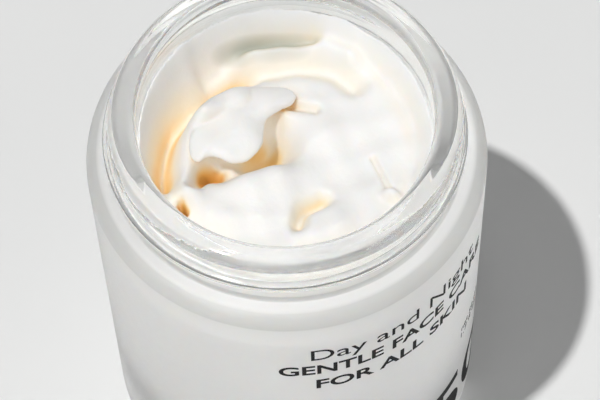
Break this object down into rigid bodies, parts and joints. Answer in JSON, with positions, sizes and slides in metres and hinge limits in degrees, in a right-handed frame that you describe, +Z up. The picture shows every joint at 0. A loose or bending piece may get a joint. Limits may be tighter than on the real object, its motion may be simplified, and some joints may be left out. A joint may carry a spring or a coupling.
{
  "type": "cosmetic cream jar",
  "caption": "Thick-walled frosted glass cream jar, open and filled, with its screw cap, liner and sealing disc lying upturned beside it.",
  "frame": {"origin": "centre of the jar's flat base", "axes": "+Z up along the jar's axis, -Y towards the printed front, the upturned cap lies towards -X"},
  "size_m": [0.123, 0.053, 0.068],
  "materials": {
    "glass": "frosted outside below the neck, clear on neck and rim",
    "cream": "soft satin cream with folded peaks",
    "shell": "fine matt moulded",
    "inner": "satin moulded",
    "liner": "fine closed-cell foam",
    "disc": "translucent satin"
  },
  "bodies": {
    "jar": {"glass_jar": "glass", "cream": "cream"},
    "seal": {"sealing_disc": "disc"},
    "liner": {"cap_liner": "liner"},
    "cap": {"cap_shell": "shell", "inner_cap": "inner"}
  },
  "joints": [
    {"name": "cap_carry", "type": "hinge", "parent": "jar", "child": "seal", "pos_m": [-0.035, 0, 0.04095], "axis": [0, 1, 0], "range_deg": [0, 180]},
    {"name": "cap_travel", "type": "slide", "parent": "seal", "child": "liner", "axis": [0, 0, 1], "range_m": [0, 0.0045]},
    {"name": "cap_turn", "type": "hinge", "parent": "liner", "child": "cap", "pos_m": [-0.07, 0, 0], "axis": [0, 0, 1], "range_deg": [0, 540]}
  ],
  "couplings": [
    {"joint": "cap_travel", "follows": "cap_turn", "m_per_rad": 0.00047746}
  ]
}
